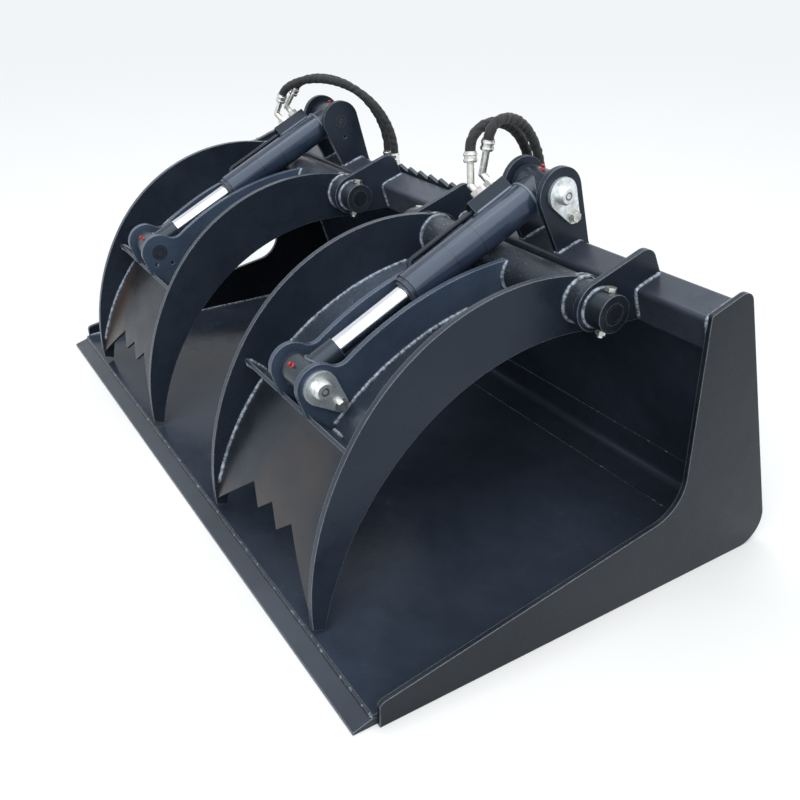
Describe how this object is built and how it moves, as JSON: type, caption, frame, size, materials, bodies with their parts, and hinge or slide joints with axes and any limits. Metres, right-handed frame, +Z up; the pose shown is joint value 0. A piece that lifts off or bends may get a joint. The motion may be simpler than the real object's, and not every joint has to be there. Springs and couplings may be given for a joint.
{
  "type": "grapple bucket",
  "caption": "Loader bucket with side plates and a top beam carrying hinged claw grapples, each worked by a hydraulic cylinder with sleeved hoses",
  "frame": {"origin": "centre of the cutting edge strip's underside, on the ground", "axes": "+X to the bucket's right seen from behind the machine's seat, +Y towards the machine, +Z up; the cutting tip points to -Y"},
  "size_m": [1.829, 0.9924, 0.8368],
  "materials": {
    "frame_paint": "dark blue-grey baked paint, satin, with weld beads under it",
    "edge_steel": "painted edge steel, rubbed along the bevel",
    "grapple_paint": "dark blue-grey paint with a speckled overspray on the rolled plate",
    "cylinder_paint": "glossy blue-grey cylinder enamel",
    "chrome_rod": "hard chrome, polished",
    "machined_steel": "turned steel",
    "zinc": "bright zinc plate",
    "hose_sleeve": "black woven nylon sleeve"
  },
  "bodies": {
    "root": {"floor_plate": "frame_paint", "cutting_edge": "edge_steel", "corner_plate": "frame_paint", "back_plate": "frame_paint", "side_plate_left": "frame_paint", "side_plate_right": "frame_paint", "top_beam": "frame_paint", "serrated_step": "frame_paint", "attachment_plate": "frame_paint", "hinge_ear_left_outer": "frame_paint", "hinge_ear_left_inner": "frame_paint", "hinge_ear_right_inner": "frame_paint", "hinge_ear_right_outer": "frame_paint", "hinge_shafts": "machined_steel", "hinge_collars": "frame_paint", "collar_bolts": "zinc", "cylinder_ears_left": "frame_paint", "cylinder_ears_right": "frame_paint", "base_pins": "zinc", "base_pin_bolts": "zinc", "hose_brackets": "frame_paint", "hose_couplers": "zinc", "hose_left_front": "hose_sleeve", "hose_left_rear": "hose_sleeve", "hose_right_front": "hose_sleeve", "hose_right_rear": "hose_sleeve"},
    "grapple_left": {"arm_left_outer": "grapple_paint", "arm_left_inner": "grapple_paint", "claw_plate_left": "grapple_paint", "cross_rib_left": "grapple_paint", "lugs_left": "grapple_paint", "pivot_tube_left": "grapple_paint", "lug_pin_left": "zinc", "lug_pin_bolt_left": "zinc"},
    "barrel_left": {"barrel_left": "cylinder_paint", "base_eye_left": "cylinder_paint", "gland_left": "cylinder_paint", "port_block_left": "cylinder_paint", "oil_line_left": "cylinder_paint", "hose_fittings_left": "zinc"},
    "rod_left": {"piston_left": "machined_steel", "rod_left": "chrome_rod", "rod_eye_left": "cylinder_paint"},
    "grapple_right": {"arm_right_outer": "grapple_paint", "arm_right_inner": "grapple_paint", "claw_plate_right": "grapple_paint", "cross_rib_right": "grapple_paint", "lugs_right": "grapple_paint", "pivot_tube_right": "grapple_paint", "lug_pin_right": "zinc", "lug_pin_bolt_right": "zinc"},
    "barrel_right": {"barrel_right": "cylinder_paint", "base_eye_right": "cylinder_paint", "gland_right": "cylinder_paint", "port_block_right": "cylinder_paint", "oil_line_right": "cylinder_paint", "hose_fittings_right": "zinc"},
    "rod_right": {"piston_right": "machined_steel", "rod_right": "chrome_rod", "rod_eye_right": "cylinder_paint"}
  },
  "joints": [
    {"name": "grapple_hinge_left", "type": "hinge", "parent": "root", "child": "grapple_left", "pos_m": [-0.453, 0.54377, 0.55655], "axis": [-1, 0, 0], "range_deg": [0, 60]},
    {"name": "cylinder_swing_left", "type": "hinge", "parent": "root", "child": "barrel_left", "pos_m": [-0.453, 0.64005, 0.69738], "axis": [-1, 0, 0], "range_deg": [0, 48.5], "deforming": ["hose_left_front", "hose_left_rear"]},
    {"name": "rod_slide_left", "type": "slide", "parent": "barrel_left", "child": "rod_left", "axis": [0, -0.8953, -0.4455], "range_m": [-0.131, 0]},
    {"name": "grapple_hinge_right", "type": "hinge", "parent": "root", "child": "grapple_right", "pos_m": [0.453, 0.54377, 0.55655], "axis": [-1, 0, 0], "range_deg": [0, 60]},
    {"name": "cylinder_swing_right", "type": "hinge", "parent": "root", "child": "barrel_right", "pos_m": [0.453, 0.64005, 0.69738], "axis": [-1, 0, 0], "range_deg": [0, 48.5], "deforming": ["hose_right_front", "hose_right_rear"]},
    {"name": "rod_slide_right", "type": "slide", "parent": "barrel_right", "child": "rod_right", "axis": [0, -0.8953, -0.4455], "range_m": [-0.131, 0]}
  ],
  "couplings": [
    {"joint": "cylinder_swing_left", "follows": "grapple_hinge_left", "ratio": 0.80729},
    {"joint": "rod_slide_left", "follows": "grapple_hinge_left", "m_per_rad": -0.12506},
    {"joint": "cylinder_swing_right", "follows": "grapple_hinge_right", "ratio": 0.80729},
    {"joint": "rod_slide_right", "follows": "grapple_hinge_right", "m_per_rad": -0.12506}
  ]
}
